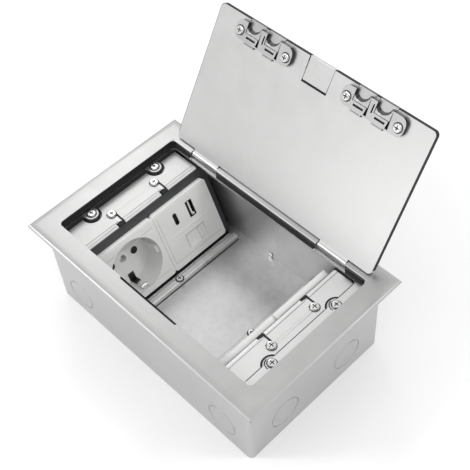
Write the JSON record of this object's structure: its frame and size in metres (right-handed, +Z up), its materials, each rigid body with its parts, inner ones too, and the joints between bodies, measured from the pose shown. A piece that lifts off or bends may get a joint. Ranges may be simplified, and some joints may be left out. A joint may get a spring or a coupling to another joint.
{
  "type": "floor socket box",
  "caption": "Floor socket box with a flange, a hinged lid with cable flaps and a lift tab, and two sloping rows of mains and data modules.",
  "frame": {"origin": "centre of the underside of the steel box", "axes": "+Z up out of the floor, X along the box, +Y towards the lid's hinge"},
  "size_m": [0.1922, 0.1632, 0.1493],
  "materials": {
    "galvanised_steel": "satin",
    "pan_steel": "satin",
    "stainless_steel": "brushed",
    "lid_steel": "satin",
    "bright_steel": "polished",
    "white_coated_steel": "satin",
    "black_rubber": "matte",
    "grey_plastic": "matte",
    "white_plastic": "satin",
    "black_plastic": "matte",
    "grey_metal": "cast",
    "contact_brass": "plain",
    "circuit_board": "satin"
  },
  "bodies": {
    "box": {"housing": "galvanised_steel", "base_pan": "pan_steel", "wall_rivets": "bright_steel", "bezel_frame": "stainless_steel", "gasket": "black_rubber", "hinge_pins": "bright_steel", "frame_screws": "bright_steel", "wing_screws": "bright_steel", "rail_screws": "bright_steel", "left_wing": "white_coated_steel", "left_support": "galvanised_steel", "left_carrier": "grey_plastic", "left_rail": "bright_steel", "left_schuko_cover": "white_plastic", "left_schuko_contacts": "contact_brass", "left_schuko_earth_clips": "bright_steel", "left_schuko_screw": "bright_steel", "left_schuko_body": "white_plastic", "left_data_cover": "white_plastic", "left_usb_a_port": "bright_steel", "left_usb_c_port": "bright_steel", "left_rj45_jack": "black_plastic", "left_data_board": "circuit_board", "left_data_body": "black_plastic", "right_wing": "white_coated_steel", "right_support": "galvanised_steel", "right_carrier": "grey_plastic", "right_rail": "bright_steel", "right_schuko_cover": "white_plastic", "right_schuko_contacts": "contact_brass", "right_schuko_earth_clips": "bright_steel", "right_schuko_screw": "bright_steel", "right_schuko_body": "white_plastic", "right_data_cover": "white_plastic", "right_usb_a_port": "bright_steel", "right_usb_c_port": "bright_steel", "right_rj45_jack": "black_plastic", "right_data_board": "circuit_board", "right_data_body": "black_plastic"},
    "lid": {"lid_plate": "lid_steel", "lid_edge_band": "black_rubber", "cable_bracket_left": "grey_metal", "cable_bracket_right": "grey_metal", "bracket_screws": "bright_steel", "flap_pins": "bright_steel", "lift_tab_pin": "bright_steel"},
    "flap_1": {"cable_flap_1": "grey_metal"},
    "flap_2": {"cable_flap_2": "grey_metal"},
    "flap_3": {"cable_flap_3": "grey_metal"},
    "flap_4": {"cable_flap_4": "grey_metal"},
    "tab": {"lift_tab": "lid_steel"},
    "left_shutter": {"left_rj45_shutter": "white_plastic"},
    "right_shutter": {"right_rj45_shutter": "white_plastic"}
  },
  "joints": [
    {"name": "lid_hinge", "type": "hinge", "parent": "box", "child": "lid", "pos_m": [0, 0.0498, 0.06634], "axis": [1, 0, 0], "range_deg": [0, 121.3]},
    {"name": "flap_1_hinge", "type": "hinge", "parent": "lid", "child": "flap_1", "pos_m": [-0.0505, 0.0957, 0.14048], "axis": [-1, 0, 0], "range_deg": [0, 70], "stiffness_Nm_per_rad": 0.002, "springref_deg": -17.19},
    {"name": "flap_2_hinge", "type": "hinge", "parent": "lid", "child": "flap_2", "pos_m": [-0.0351, 0.0957, 0.14048], "axis": [-1, 0, 0], "range_deg": [0, 70], "stiffness_Nm_per_rad": 0.002, "springref_deg": -17.19},
    {"name": "flap_3_hinge", "type": "hinge", "parent": "lid", "child": "flap_3", "pos_m": [0.0332, 0.0957, 0.14048], "axis": [-1, 0, 0], "range_deg": [0, 70], "stiffness_Nm_per_rad": 0.002, "springref_deg": -17.19},
    {"name": "flap_4_hinge", "type": "hinge", "parent": "lid", "child": "flap_4", "pos_m": [0.0486, 0.0957, 0.14048], "axis": [-1, 0, 0], "range_deg": [0, 70], "stiffness_Nm_per_rad": 0.002, "springref_deg": -17.19},
    {"name": "lift_tab_hinge", "type": "hinge", "parent": "lid", "child": "tab", "pos_m": [0, 0.0931, 0.13621], "axis": [-1, 0, 0], "range_deg": [0, 60], "stiffness_Nm_per_rad": 0.003, "springref_deg": -17.19},
    {"name": "left_shutter_slide", "type": "slide", "parent": "box", "child": "left_shutter", "axis": [0, -1, 0], "range_m": [0, 0.0101], "stiffness_N_per_m": 20, "springref_m": -0.01},
    {"name": "right_shutter_slide", "type": "slide", "parent": "box", "child": "right_shutter", "axis": [0, 1, 0], "range_m": [0, 0.0101], "stiffness_N_per_m": 20, "springref_m": -0.01}
  ]
}
